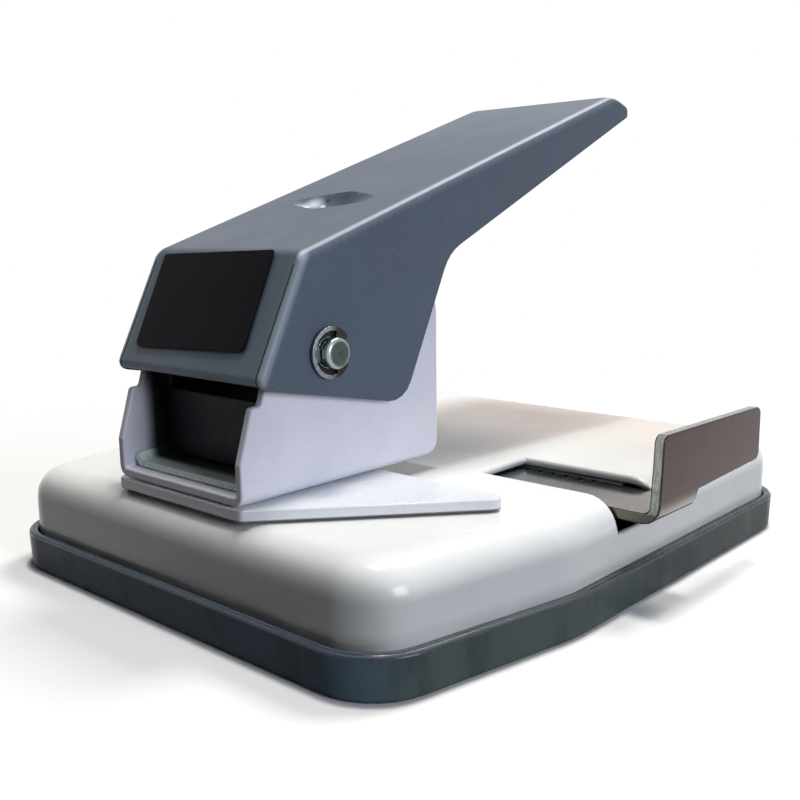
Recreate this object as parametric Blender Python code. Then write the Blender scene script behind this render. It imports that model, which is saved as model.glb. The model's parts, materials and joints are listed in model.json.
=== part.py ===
import math

import bmesh
import bpy
from mathutils import Matrix, Vector
import numpy as np

# Oval slot punch in its own frame: X to the right and Y to the back, seen from the label,
# Z up. The origin is under the punch's middle in X, on the face the tray stands on.

MM = 0.001
DEGREE = math.pi / 180

# Clearances, and how far a cutter passes the faces that it cuts
SEAT_GAP = 0.3 * MM
RUN_GAP = 0.05 * MM
DIE_GAP = 0.1 * MM
OVERRUN = 5 * MM

# How finely round shapes are divided
PIN_SIDES = 32
SCREW_SIDES = 16
CORNER_STEPS = 7
BEND_STEPS = 4

# Base outline in plan: narrow front, sides that flare to a soft kink, straight back
BASE_CENTRE_X = -1 * MM
BASE_FRONT_Y = -62 * MM
BASE_KINK_Y = -9.5 * MM
BASE_BACK_Y = 100.6 * MM
BASE_FRONT_HALF = 63.8 * MM
BASE_BACK_HALF = 73.5 * MM
BASE_CORNER_R = 15.4 * MM
BASE_KINK_R = 45 * MM

# Chip tray
TRAY_HEIGHT = 9.6 * MM
TRAY_WALL = 2.2 * MM
TRAY_FLOOR = 2 * MM
TRAY_LEDGE = 2.2 * MM
TRAY_LEDGE_WIDTH = 1.7 * MM
TRAY_DRAFT = 0.3 * MM
TRAY_FOOT_R = 0.8 * MM
TRAY_LIP_R = 0.6 * MM

# Base shell
SHELL_TOP_Z = 25.4 * MM
SHELL_WALL = 2 * MM
SHELL_EDGE_R = 7.9 * MM
SHELL_EDGE_STEPS = 8

# Slot for the side guide, in the shell's top and right wall
SLOT_INNER_X = 32 * MM
SLOT_NEAR_Y = 9.1 * MM
SLOT_WIDTH = 18.8 * MM
SLOT_SILL_Z = 17.2 * MM
SLOT_SILL_R = 2 * MM

# Stop plate, whose back edge is the paper stop
STOP_THICKNESS = 2.7 * MM
STOP_FRONT_Y = -56.1 * MM
STOP_BACK_Y = -13 * MM
STOP_FRONT_HALF = 21.6 * MM
STOP_BACK_HALF = 58.8 * MM
STOP_TIP_R = 2.5 * MM
STOP_FRONT_R = 1.6 * MM
STOP_EDGE = 0.5 * MM

# Head bracket, a painted channel
BRACKET_HALF = 22 * MM
BRACKET_SHEET = 2 * MM
BRACKET_BEND_R = 2.6 * MM
BRACKET_FRONT_Y = -55.8 * MM
BRACKET_BACK_Y = 5.2 * MM
BRACKET_SHOULDER_Z = 37.5 * MM
BRACKET_NECK_Y = -52.3 * MM
BRACKET_NECK_Z = 48.8 * MM
BRACKET_LEDGE = 2.3 * MM
BRACKET_TOP_Z = 70 * MM
BRACKET_CHEEK_Y = -43.1 * MM
BRACKET_CHEEK_R = 9 * MM
BRACKET_TOP_R = 6 * MM
BRACKET_HEEL_R = 4.5 * MM
BRACKET_NECK_R = 1 * MM

# Inner channel, a plated frame inside the bracket
FRAME_SHEET = 1.4 * MM
FRAME_BEND_R = 2.6 * MM
FRAME_FRONT_Y = -53 * MM
FRAME_BACK_Y = 2.4 * MM
FRAME_WALL_Y = -43 * MM
FRAME_LIP = 1.8 * MM
FRAME_TOP_Z = 66 * MM
FRAME_TOP_Y = -41 * MM
FRAME_TOP_R = 5 * MM

# Pivot
PIVOT_Y = -33.4 * MM
PIVOT_Z = 58.3 * MM
PIN_R = 3.4 * MM
PIN_PROUD = 2.2 * MM
PIN_END_R = 0.8 * MM
CLIP_THICKNESS = 0.7 * MM
CLIP_R = 5.6 * MM
CLIP_LUG_R = 2.8 * MM
CLIP_RELIEF_R = 4.7 * MM
CLIP_MOUTH = 32 * DEGREE
CLIP_LUG_SPREAD = 17 * DEGREE

# Lever handle, folded from one sheet
HANDLE_SHEET = 1.4 * MM
HANDLE_CENTRE_X = -0.6 * MM
HANDLE_SIDE_GAP = 2.1 * MM
HANDLE_TOP_SLOPE = 18.5 * DEGREE
HANDLE_FRONT_LEAN = 26.4 * DEGREE
HANDLE_BEND_R = 2.7 * MM
HANDLE_EDGE_R = 1 * MM
HANDLE_NOSE_AHEAD = 6.4 * MM
HANDLE_NOSE_RISE = 21.3 * MM
HANDLE_NOSE_R = 3 * MM
HANDLE_CREST_BEHIND = 113.3 * MM
HANDLE_CREST_R = 8.1 * MM
HANDLE_END_BEHIND = 121.4 * MM
HANDLE_END_DROP = 17 * DEGREE
HANDLE_END_DEPTH = 3 * MM
HANDLE_END_R = 0.8 * MM
HANDLE_THROAT_BEHIND = 39.9 * MM
HANDLE_THROAT_RISE = 19.5 * MM
HANDLE_THROAT_R = 12 * MM
HANDLE_HEEL_BEHIND = 23.4 * MM
HANDLE_HEEL_DROP = 14 * MM
HANDLE_HEEL_R = 7 * MM
HANDLE_TOE_R = 2 * MM
HANDLE_BELLY_SLOPE = -11.2 * DEGREE
SEAM_WIDTH = 0.4 * MM
SEAM_TOP_DROP = 3 * MM
PANEL_DROP = 29 * MM

# Pressed dimple that bears on the punch
DIMPLE_BEHIND_PUNCH = 0.3 * MM
DIMPLE_LENGTH = 26 * MM
DIMPLE_WIDTH = 13.4 * MM
DIMPLE_DEPTH = 3.7 * MM
DIMPLE_STATIONS = 12
DIMPLE_ARC_STEPS = 8
DIMPLE_TIP_SHARE = 0.02

# Label plate on the front panel
LABEL_WIDTH = 37.6 * MM
LABEL_HEIGHT = 22.7 * MM
LABEL_THICKNESS = 0.4 * MM
LABEL_TURN = 2.2 * DEGREE
LABEL_TOP_R = 0.6 * MM
LABEL_FOOT_R = 1.6 * MM
LABEL_CENTRE_X = -1.7 * MM
LABEL_TOP_DROP = 0.8 * MM

# Punch, die and the block that guides the punch
PUNCH_Y = -7.5 * MM
PUNCH_WIDTH = 14.3 * MM
PUNCH_DEPTH = 3.2 * MM
PUNCH_TIP_Z = 29.5 * MM
PUNCH_STROKE = 5.7 * MM
DIE_WIDTH = 22 * MM
DIE_DEPTH = 9 * MM
DIE_HEIGHT = 6 * MM
CHIP_RELIEF = 1 * MM
DIE_PLATE_OVERHANG = 1 * MM
DIE_PLATE_FRONT_Y = -41 * MM
DIE_PLATE_BACK_Y = 2.5 * MM
DIE_PLATE_THICKNESS = 6 * MM
DIE_PLATE_R = 2 * MM
BLOCK_SIDE_GAP = 0.3 * MM
BLOCK_FRONT_Y = -45 * MM
BLOCK_BACK_Y = 1.8 * MM
BLOCK_TOP_Z = 48.5 * MM
BLOCK_EDGE = 0.8 * MM
HEAD_R = 9.6 * MM
HEAD_HEIGHT = 15.2 * MM
HEAD_DOME_R = 20 * MM
HEAD_EDGE_R = 1.2 * MM
BAR_IN_HEAD = 9 * MM
CROSS_PIN_R = 1.5 * MM
CROSS_PIN_UP = 4.5 * MM
STOP_PIN_Z = 42 * MM
STOP_PIN_FRONT_Y = -16 * MM
WASHER_R = 11.2 * MM
WASHER_THICKNESS = 1.2 * MM
FLOOR_HOLE_GAP = 0.7 * MM

# Return spring
SPRING_WIRE_R = 0.8 * MM
SPRING_MEAN_R = 9.1 * MM
SPRING_TURNS = 4.5
SPRING_TURN_POINTS = 10
SPRING_LEAST_GAP = 0.4 * MM

# Screws that clamp the head to the base
SCREW_R = 2 * MM
SCREW_HEAD_R = 3.5 * MM
SCREW_HEAD_HEIGHT = 2.6 * MM
SCREW_TIP = 0.5 * MM
SCREW_BITE = 8 * MM
SCREW_FROM_SIDE = 6 * MM
FRONT_SCREW_Y = -34 * MM
REAR_SCREW_Y = -18.6 * MM

# Side guide: a plated plate with a tongue in the slot and a flap to lay the paper against
GUIDE_SHEET = 2.45 * MM
GUIDE_SIDE_GAP = 0.4 * MM
GUIDE_TOP_GAP = 0.4 * MM
GUIDE_INNER_X = -12 * MM
GUIDE_FACE_X = 79.3 * MM
GUIDE_BEND_R = 4.2 * MM
FLAP_TOP_Z = 40.2 * MM
FLAP_LOW_Z = 25.2 * MM
FLAP_END_TOP_Z = 39.3 * MM
FLAP_END_LOW_Z = 26.2 * MM
FLAP_NEAR_LEAN = 1.4 * MM
FLAP_LENGTH = 51.4 * MM
FLAP_CORNER_R = 1.9 * MM
FLAP_NECK_R = 0.8 * MM
NOTCH_PITCH = 3.9 * MM
NOTCH_FIRST_X = 27 * MM
NOTCH_R = 1.4 * MM
NOTCH_IN = 0.6 * MM
NOTCH_COUNT = 8

# Carrier under the shell that holds the tongue, and its bowed leaf spring
CARRIER_SHEET = 1.2 * MM
CARRIER_SIDE_GAP = 0.4 * MM
CARRIER_DROP = 2.2 * MM
CARRIER_FLANGE = 4 * MM
CARRIER_INNER_X = -22 * MM
CARRIER_OUTER_X = 60 * MM
LEAF_LENGTH = 30 * MM
LEAF_WIDTH = 7 * MM
LEAF_THICKNESS = 0.5 * MM
LEAF_CENTRE_X = 42 * MM
LEAF_STEPS = 10


def remove_scene_objects():
    for item in list(bpy.data.objects):
        bpy.data.objects.remove(item, do_unlink=True)


def make_material(name, colour, roughness, metallic):
    material = bpy.data.materials.new(name)
    material.use_nodes = True
    shader = material.node_tree.nodes["Principled BSDF"]
    shader.inputs["Base Color"].default_value = (*colour, 1)
    shader.inputs["Roughness"].default_value = roughness
    shader.inputs["Metallic"].default_value = metallic
    return material


def add_object(name, mesh_maker, material, origin=(0, 0, 0)):
    """Link a new object whose mesh is given in world places and whose origin is moved."""
    mesh = bpy.data.meshes.new(name)
    bmesh.ops.recalc_face_normals(mesh_maker, faces=mesh_maker.faces)
    bmesh.ops.translate(mesh_maker, verts=mesh_maker.verts, vec=-Vector(origin))
    mesh_maker.to_mesh(mesh)
    mesh_maker.free()
    item = bpy.data.objects.new(name, mesh)
    item.location = origin
    bpy.context.scene.collection.objects.link(item)
    if material is not None:
        mesh.materials.append(material)
    return item


def shade_round(item, angle=35 * DEGREE):
    item.data.shade_smooth()
    item.data.set_sharp_from_angle(angle=angle)


def loft(rings):
    """Close a skin over rings of equal length, with a flat face at each end."""
    shape = bmesh.new()
    rows = [[shape.verts.new(point) for point in ring] for ring in rings]
    for low, high in zip(rows, rows[1:]):
        for i in range(len(low)):
            j = (i + 1) % len(low)
            shape.faces.new((low[i], low[j], high[j], high[i]))
    shape.faces.new(list(reversed(rows[0])))
    shape.faces.new(rows[-1])
    return shape


def place(axis, along, a, b):
    """A point from its place along an axis and its two places across it."""
    if axis == "X":
        return (along, a, b)
    if axis == "Y":
        return (a, along, b)
    return (a, b, along)


def prism(outline, axis, start, end):
    """Push an outline along an axis: it holds (y, z), (x, z) or (x, y) for X, Y or Z."""
    return loft([[place(axis, along, a, b) for a, b in outline] for along in (start, end)])


def rounded_outline(corners, steps=CORNER_STEPS):
    """Round an outline's corners, each given as (a, b, radius), into arcs."""
    points = []
    count = len(corners)
    for i in range(count):
        corner = Vector(corners[i][:2])
        radius = corners[i][2]
        if radius == 0:
            points.append(tuple(corner))
            continue
        back = (Vector(corners[i - 1][:2]) - corner).normalized()
        ahead = (Vector(corners[(i + 1) % count][:2]) - corner).normalized()
        half = back.angle(ahead) / 2
        centre = corner + (back + ahead).normalized() * (radius / math.sin(half))
        first = corner + back * (radius / math.tan(half)) - centre
        last = corner + ahead * (radius / math.tan(half)) - centre
        sweep = first.angle_signed(last)
        for step in range(steps + 1):
            turn = Matrix.Rotation(-sweep * step / steps, 2)
            points.append(tuple(centre + turn @ first))
    return points


def circle(centre_a, centre_b, radius, sides):
    angles = [2 * math.pi * i / sides for i in range(sides)]
    return [(centre_a + radius * math.cos(t), centre_b + radius * math.sin(t)) for t in angles]


def stadium(centre_a, centre_b, width, depth, steps=8):
    """A slot outline with two round ends, as wide as given from end to end."""
    r = depth / 2
    reach = width / 2 - r
    points = []
    for i in range(steps + 1):
        t = -math.pi / 2 + math.pi * i / steps
        points.append((centre_a + reach + r * math.cos(t), centre_b + r * math.sin(t)))
    for i in range(steps + 1):
        t = math.pi / 2 + math.pi * i / steps
        points.append((centre_a - reach + r * math.cos(t), centre_b + r * math.sin(t)))
    return points


def rectangle(low_a, high_a, low_b, high_b, radius=0, steps=CORNER_STEPS):
    corners = [(low_a, low_b, radius), (high_a, low_b, radius),
               (high_a, high_b, radius), (low_a, high_b, radius)]
    return rounded_outline(corners, steps)


def turned(profile, axis, centre_a, centre_b, sides):
    """Turn a profile of (place along the axis, radius) into a solid with flat ends."""
    rings = []
    for along, radius in profile:
        outline = circle(centre_a, centre_b, radius, sides)
        rings.append([place(axis, along, a, b) for a, b in outline])
    return loft(rings)


def cut(target, shape, operation="DIFFERENCE"):
    """Give the target a Boolean with a shape that stays out of the finished part."""
    label = "%s_%s_%d" % (target.name, operation.lower(), len(target.modifiers))
    tool = add_object(label, shape, None)
    tool.hide_render = True
    tool.display_type = "WIRE"
    change = target.modifiers.new(label, "BOOLEAN")
    change.operation = operation
    change.solver = "EXACT"
    change.object = tool


def round_edges(item, width, segments=2, angle=50 * DEGREE):
    edge = item.modifiers.new("edge", "BEVEL")
    edge.width = width
    edge.segments = segments
    edge.limit_method = "ANGLE"
    edge.angle_limit = angle


def line_meet(point_a, slope_a, point_b, slope_b):
    """Where two lines meet, each given by a point and its angle from the first axis."""
    run_a = Vector((math.cos(slope_a), math.sin(slope_a)))
    run_b = Vector((math.cos(slope_b), math.sin(slope_b)))
    across = Vector(point_b) - Vector(point_a)
    reach = (across.x * run_b.y - across.y * run_b.x) / (run_a.x * run_b.y - run_a.y * run_b.x)
    return Vector(point_a) + run_a * reach


# Base

def base_outline(inset):
    """The base's plan outline, drawn in by an inset from the tray's lip."""
    front = BASE_FRONT_Y + inset
    back = BASE_BACK_Y - inset
    narrow = BASE_FRONT_HALF - inset
    wide = BASE_BACK_HALF - inset
    corner = BASE_CORNER_R - inset
    corners = [(-narrow, front, corner), (narrow, front, corner), (wide, BASE_KINK_Y, BASE_KINK_R),
               (wide, back, corner), (-wide, back, corner), (-wide, BASE_KINK_Y, BASE_KINK_R)]
    return [(BASE_CENTRE_X + x, y) for x, y in rounded_outline(corners)]


def base_ring(inset, z):
    return [(x, y, z) for x, y in base_outline(inset)]


ledge_z = TRAY_FLOOR + TRAY_LEDGE
shell_inset = TRAY_WALL + SEAT_GAP
shell_wall_x = BASE_CENTRE_X + BASE_BACK_HALF - shell_inset
shell_under_z = SHELL_TOP_Z - SHELL_WALL
frame_half = BRACKET_HALF - BRACKET_SHEET - SEAT_GAP
block_half = frame_half - FRAME_SHEET - BLOCK_SIDE_GAP


def make_chip_tray(material):
    foot = TRAY_DRAFT + TRAY_FOOT_R
    low_inset = TRAY_WALL + TRAY_LEDGE_WIDTH
    rings = [base_ring(low_inset, TRAY_FLOOR),
             base_ring(low_inset, ledge_z),
             base_ring(TRAY_WALL, ledge_z),
             base_ring(TRAY_WALL, TRAY_HEIGHT - TRAY_LIP_R),
             base_ring(TRAY_WALL - TRAY_LIP_R, TRAY_HEIGHT),
             base_ring(TRAY_LIP_R, TRAY_HEIGHT),
             base_ring(0, TRAY_HEIGHT - TRAY_LIP_R),
             base_ring(TRAY_DRAFT, TRAY_FOOT_R),
             base_ring(foot, 0)]
    tray = add_object("chip_tray", loft(rings), material)
    shade_round(tray)
    return tray


def edge_rings(inset, top_z, radius, foot_z):
    """Rings up a wall and over its rounded top edge."""
    rings = [base_ring(inset, foot_z)]
    for step in range(SHELL_EDGE_STEPS + 1):
        t = math.pi / 2 * step / SHELL_EDGE_STEPS
        rise = top_z - radius + radius * math.sin(t)
        rings.append(base_ring(inset + radius * (1 - math.cos(t)), rise))
    return rings


def make_base_shell(material):
    foot_z = ledge_z + SEAT_GAP
    outer = edge_rings(shell_inset, SHELL_TOP_Z, SHELL_EDGE_R, foot_z)
    inner_r = SHELL_EDGE_R - SHELL_WALL
    inner = edge_rings(shell_inset + SHELL_WALL, shell_under_z, inner_r, foot_z)
    shell = add_object("base_shell", loft(list(reversed(inner)) + outer), material)
    slot = [(SLOT_NEAR_Y, SLOT_SILL_Z, SLOT_SILL_R),
            (SLOT_NEAR_Y + SLOT_WIDTH, SLOT_SILL_Z, SLOT_SILL_R),
            (SLOT_NEAR_Y + SLOT_WIDTH, SHELL_TOP_Z + OVERRUN, 0),
            (SLOT_NEAR_Y, SHELL_TOP_Z + OVERRUN, 0)]
    cut(shell, prism(rounded_outline(slot, BEND_STEPS), "X", SLOT_INNER_X, shell_wall_x + OVERRUN))
    opening = stadium(0, PUNCH_Y, DIE_WIDTH + 2 * SEAT_GAP, DIE_DEPTH + 2 * SEAT_GAP)
    cut(shell, prism(opening, "Z", shell_under_z - OVERRUN, SHELL_TOP_Z + OVERRUN))
    for x, y in screw_places():
        cut(shell, screw_hole(x, y, shell_under_z - OVERRUN, SHELL_TOP_Z + OVERRUN))
    shade_round(shell)
    return shell


def screw_places():
    reach = block_half - SCREW_FROM_SIDE
    return [(side * reach, y) for y in (FRONT_SCREW_Y, REAR_SCREW_Y) for side in (-1, 1)]


def screw_hole(x, y, low, high):
    return prism(circle(x, y, SCREW_R + SEAT_GAP, SCREW_SIDES), "Z", low, high)


# Die

die_plate_top_z = shell_under_z - SEAT_GAP
die_plate_low_z = die_plate_top_z - DIE_PLATE_THICKNESS
die_low_z = SHELL_TOP_Z - DIE_HEIGHT


def make_die_plate(material):
    half = block_half + DIE_PLATE_OVERHANG
    plan = rectangle(-half, half, DIE_PLATE_FRONT_Y, DIE_PLATE_BACK_Y, DIE_PLATE_R, BEND_STEPS)
    plate = add_object("die_plate", prism(plan, "Z", die_plate_low_z, die_plate_top_z), material)
    pocket = stadium(0, PUNCH_Y, DIE_WIDTH + 2 * SEAT_GAP, DIE_DEPTH + 2 * SEAT_GAP)
    cut(plate, prism(pocket, "Z", die_low_z - SEAT_GAP, die_plate_top_z + OVERRUN))
    relief = 2 * (DIE_GAP + CHIP_RELIEF)
    exit_hole = stadium(0, PUNCH_Y, PUNCH_WIDTH + relief, PUNCH_DEPTH + relief)
    cut(plate, prism(exit_hole, "Z", die_plate_low_z - OVERRUN, die_plate_top_z))
    for x, y in screw_places():
        cut(plate, screw_hole(x, y, die_plate_low_z - OVERRUN, die_plate_top_z + OVERRUN))
    return plate


def make_die_insert(material):
    ring = prism(stadium(0, PUNCH_Y, DIE_WIDTH, DIE_DEPTH), "Z", die_low_z, SHELL_TOP_Z)
    insert = add_object("die_insert", ring, material)
    hole = stadium(0, PUNCH_Y, PUNCH_WIDTH + 2 * DIE_GAP, PUNCH_DEPTH + 2 * DIE_GAP)
    cut(insert, prism(hole, "Z", die_low_z - OVERRUN, SHELL_TOP_Z + OVERRUN))
    shade_round(insert)
    return insert


# Stop plate

stop_low_z = SHELL_TOP_Z + SEAT_GAP
stop_top_z = stop_low_z + STOP_THICKNESS


def make_stop_plate(material):
    corners = [(-STOP_FRONT_HALF, STOP_FRONT_Y, STOP_FRONT_R),
               (STOP_FRONT_HALF, STOP_FRONT_Y, STOP_FRONT_R),
               (STOP_BACK_HALF, STOP_BACK_Y, STOP_TIP_R),
               (-STOP_BACK_HALF, STOP_BACK_Y, STOP_TIP_R)]
    plan = rounded_outline(corners, BEND_STEPS)
    plate = add_object("stop_plate", prism(plan, "Z", stop_low_z, stop_top_z), material)
    round_edges(plate, STOP_EDGE)
    for x, y in screw_places():
        cut(plate, screw_hole(x, y, stop_low_z - OVERRUN, stop_top_z + OVERRUN))
    shade_round(plate)
    return plate


# Head bracket and inner frame

bracket_low_z = stop_top_z + SEAT_GAP
bracket_floor_z = bracket_low_z + BRACKET_SHEET
frame_low_z = bracket_floor_z + SEAT_GAP
frame_floor_z = frame_low_z + FRAME_SHEET


def channel(half, sheet, bend_r, low_z, top_z, start_y, end_y):
    """An open-topped channel along Y, with its two lower edges bent round."""
    inner_r = bend_r - sheet
    inner = half - sheet
    corners = [(-half, low_z, bend_r), (half, low_z, bend_r), (half, top_z, 0), (inner, top_z, 0),
               (inner, low_z + sheet, inner_r), (-inner, low_z + sheet, inner_r),
               (-inner, top_z, 0), (-half, top_z, 0)]
    return prism(rounded_outline(corners, BEND_STEPS), "Y", start_y, end_y)


def floor_hole():
    width = PUNCH_WIDTH + 2 * FLOOR_HOLE_GAP
    return stadium(0, PUNCH_Y, width, PUNCH_DEPTH + 2 * FLOOR_HOLE_GAP)


def drill_head_sheet(item, low_z, floor_z, half, hole_r):
    """The punch's hole, the four screw holes and the pivot's holes of a channel."""
    cut(item, prism(floor_hole(), "Z", low_z - OVERRUN, floor_z + OVERRUN))
    for x, y in screw_places():
        cut(item, screw_hole(x, y, low_z - OVERRUN, floor_z + OVERRUN))
    pivot = circle(PIVOT_Y, PIVOT_Z, hole_r, PIN_SIDES)
    cut(item, prism(pivot, "X", -half - OVERRUN, half + OVERRUN))


def make_head_bracket(material):
    slope_back = BRACKET_NECK_Y + BRACKET_LEDGE
    side = [(BRACKET_FRONT_Y, bracket_low_z, 0),
            (BRACKET_BACK_Y, bracket_low_z, BRACKET_HEEL_R),
            (BRACKET_BACK_Y, BRACKET_TOP_Z, BRACKET_TOP_R),
            (BRACKET_CHEEK_Y, BRACKET_TOP_Z, BRACKET_CHEEK_R),
            (slope_back, BRACKET_NECK_Z, BRACKET_NECK_R),
            (BRACKET_NECK_Y, BRACKET_NECK_Z, BRACKET_NECK_R),
            (BRACKET_FRONT_Y, BRACKET_SHOULDER_Z, BRACKET_NECK_R)]
    blank = channel(BRACKET_HALF, BRACKET_SHEET, BRACKET_BEND_R, bracket_low_z,
                    BRACKET_TOP_Z + OVERRUN, BRACKET_FRONT_Y - OVERRUN, BRACKET_BACK_Y + OVERRUN)
    bracket = add_object("head_bracket", blank, material)
    reach = BRACKET_HALF + OVERRUN
    cut(bracket, prism(rounded_outline(side), "X", -reach, reach), "INTERSECT")
    flat = BRACKET_HALF - BRACKET_BEND_R
    low = bracket_low_z - OVERRUN
    notch = rectangle(BRACKET_BACK_Y - BRACKET_HEEL_R, BRACKET_BACK_Y + OVERRUN, low,
                      bracket_low_z + BRACKET_BEND_R)
    cut(bracket, prism(notch, "X", -flat, flat))
    drill_head_sheet(bracket, bracket_low_z, bracket_floor_z, BRACKET_HALF, PIN_R + RUN_GAP)
    shade_round(bracket)
    return bracket


def make_inner_channel(material):
    wall_foot_z = frame_floor_z + FRAME_LIP
    side = [(FRAME_FRONT_Y, frame_low_z, 0),
            (FRAME_BACK_Y, frame_low_z, 0),
            (FRAME_BACK_Y, FRAME_TOP_Z, FRAME_TOP_R),
            (FRAME_TOP_Y, FRAME_TOP_Z, FRAME_TOP_R),
            (FRAME_WALL_Y, BRACKET_NECK_Z, 0),
            (FRAME_WALL_Y, wall_foot_z, FRAME_LIP),
            (FRAME_FRONT_Y, wall_foot_z, FRAME_LIP)]
    blank = channel(frame_half, FRAME_SHEET, FRAME_BEND_R, frame_low_z, FRAME_TOP_Z + OVERRUN,
                    FRAME_FRONT_Y - OVERRUN, FRAME_BACK_Y + OVERRUN)
    frame = add_object("inner_channel", blank, material)
    reach = frame_half + OVERRUN
    cut(frame, prism(rounded_outline(side, BEND_STEPS), "X", -reach, reach), "INTERSECT")
    drill_head_sheet(frame, frame_low_z, frame_floor_z, frame_half, PIN_R + RUN_GAP)
    shade_round(frame)
    return frame


block_low_z = frame_floor_z + SEAT_GAP


def make_guide_block(material):
    plan = rectangle(-block_half, block_half, BLOCK_FRONT_Y, BLOCK_BACK_Y)
    block = add_object("guide_block", prism(plan, "Z", block_low_z, BLOCK_TOP_Z), material)
    round_edges(block, BLOCK_EDGE)
    bore = stadium(0, PUNCH_Y, PUNCH_WIDTH + 2 * RUN_GAP, PUNCH_DEPTH + 2 * RUN_GAP)
    cut(block, prism(bore, "Z", block_low_z - OVERRUN, BLOCK_TOP_Z + OVERRUN))
    for x, y in screw_places():
        depth = block_low_z + SCREW_BITE + SEAT_GAP
        cut(block, screw_hole(x, y, block_low_z - OVERRUN, depth))
    stop = circle(0, STOP_PIN_Z, CROSS_PIN_R + SEAT_GAP, SCREW_SIDES)
    cut(block, prism(stop, "Y", STOP_PIN_FRONT_Y - SEAT_GAP, BLOCK_BACK_Y + OVERRUN))
    return block


def make_stop_pin(material):
    pin = prism(circle(0, STOP_PIN_Z, CROSS_PIN_R, SCREW_SIDES), "Y",
                STOP_PIN_FRONT_Y, BLOCK_BACK_Y - SEAT_GAP)
    item = add_object("stop_pin", pin, material)
    shade_round(item)
    return item


# Screws

def make_screws(material):
    head_top = die_plate_low_z - SEAT_GAP
    head_low = head_top - SCREW_HEAD_HEIGHT
    tip_z = block_low_z + SCREW_BITE
    profile = [(head_low, SCREW_HEAD_R - SCREW_TIP), (head_low + SCREW_TIP, SCREW_HEAD_R),
               (head_top, SCREW_HEAD_R), (head_top, SCREW_R),
               (tip_z - SCREW_TIP, SCREW_R), (tip_z, SCREW_R - SCREW_TIP)]
    for i, (x, y) in enumerate(screw_places()):
        screw = add_object("head_screw_%d" % (i + 1), turned(profile, "Z", x, y, SCREW_SIDES), material)
        shade_round(screw)


# Pivot pin and its clips

handle_inner = BRACKET_HALF + HANDLE_SIDE_GAP
handle_half = handle_inner + HANDLE_SHEET
clip_x = handle_half + SEAT_GAP
pin_half = clip_x + CLIP_THICKNESS + PIN_PROUD


def make_pivot_pin(material):
    groove_r = CLIP_LUG_R - SEAT_GAP
    groove_in = clip_x - SEAT_GAP
    groove_out = clip_x + CLIP_THICKNESS + SEAT_GAP
    half = [(groove_in, PIN_R), (groove_in, groove_r), (groove_out, groove_r), (groove_out, PIN_R),
            (pin_half - PIN_END_R, PIN_R)]
    for step in range(BEND_STEPS):
        t = math.pi / 2 * (step + 1) / BEND_STEPS
        half.append((pin_half - PIN_END_R * (1 - math.sin(t)), PIN_R - PIN_END_R * (1 - math.cos(t))))
    profile = [(HANDLE_CENTRE_X - x, r) for x, r in reversed(half)]
    profile += [(HANDLE_CENTRE_X + x, r) for x, r in half]
    pin = add_object("pivot_pin", turned(profile, "X", PIVOT_Y, PIVOT_Z, PIN_SIDES), material)
    shade_round(pin)
    return pin


def clip_outline():
    """An E-clip open at the back: a ring with a mouth, two reliefs and three lugs."""
    outer = []
    steps = 28
    for i in range(steps + 1):
        t = CLIP_MOUTH + (2 * math.pi - 2 * CLIP_MOUTH) * i / steps
        outer.append((PIVOT_Y + CLIP_R * math.cos(t), PIVOT_Z + CLIP_R * math.sin(t)))
    inner = []
    first_lug = CLIP_MOUTH + CLIP_LUG_SPREAD
    lug_centres = [-first_lug, -math.pi, first_lug - 2 * math.pi]
    for place_on, centre in enumerate(lug_centres):
        for share in (1, 0, -1):
            t = centre + share * CLIP_LUG_SPREAD
            inner.append((PIVOT_Y + CLIP_LUG_R * math.cos(t), PIVOT_Z + CLIP_LUG_R * math.sin(t)))
        if place_on == len(lug_centres) - 1:
            continue
        start = centre - 1.3 * CLIP_LUG_SPREAD
        end = lug_centres[place_on + 1] + 1.3 * CLIP_LUG_SPREAD
        for i in range(5):
            t = start + (end - start) * i / 4
            inner.append((PIVOT_Y + CLIP_RELIEF_R * math.cos(t), PIVOT_Z + CLIP_RELIEF_R * math.sin(t)))
    return outer + inner


def make_clip(name, side, material):
    outline = clip_outline()
    near = HANDLE_CENTRE_X + side * clip_x
    return add_object(name, prism(outline, "X", near, near + side * CLIP_THICKNESS), material)


# Lever handle

top_run = Vector((math.cos(HANDLE_TOP_SLOPE), math.sin(HANDLE_TOP_SLOPE)))
top_normal = Vector((-top_run.y, top_run.x))
front_slope = math.pi / 2 - HANDLE_FRONT_LEAN
front_run = Vector((math.cos(front_slope), math.sin(front_slope)))
front_normal = Vector((-front_run.y, front_run.x))
nose = Vector((PIVOT_Y - HANDLE_NOSE_AHEAD, PIVOT_Z + HANDLE_NOSE_RISE))
crest = nose + top_run * ((PIVOT_Y + HANDLE_CREST_BEHIND - nose.x) / top_run.x)
end_run = Vector((math.cos(HANDLE_END_DROP), -math.sin(HANDLE_END_DROP)))
end_top = crest + end_run * ((HANDLE_END_BEHIND - HANDLE_CREST_BEHIND) / end_run.x)
end_low = end_top + Vector((-end_run.x + top_run.x, -1)).normalized() * HANDLE_END_DEPTH
heel = Vector((PIVOT_Y + HANDLE_HEEL_BEHIND, PIVOT_Z - HANDLE_HEEL_DROP))
throat = Vector((PIVOT_Y + HANDLE_THROAT_BEHIND, PIVOT_Z + HANDLE_THROAT_RISE))
toe = line_meet(nose, front_slope, heel, HANDLE_BELLY_SLOPE)
dimple_middle = nose + top_run * ((PUNCH_Y + DIMPLE_BEHIND_PUNCH - nose.x) / top_run.x)


end_normal = Vector((-end_run.y, end_run.x))
end_face = end_low - end_top
end_face_slope = math.atan2(end_face.y, end_face.x)


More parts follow.
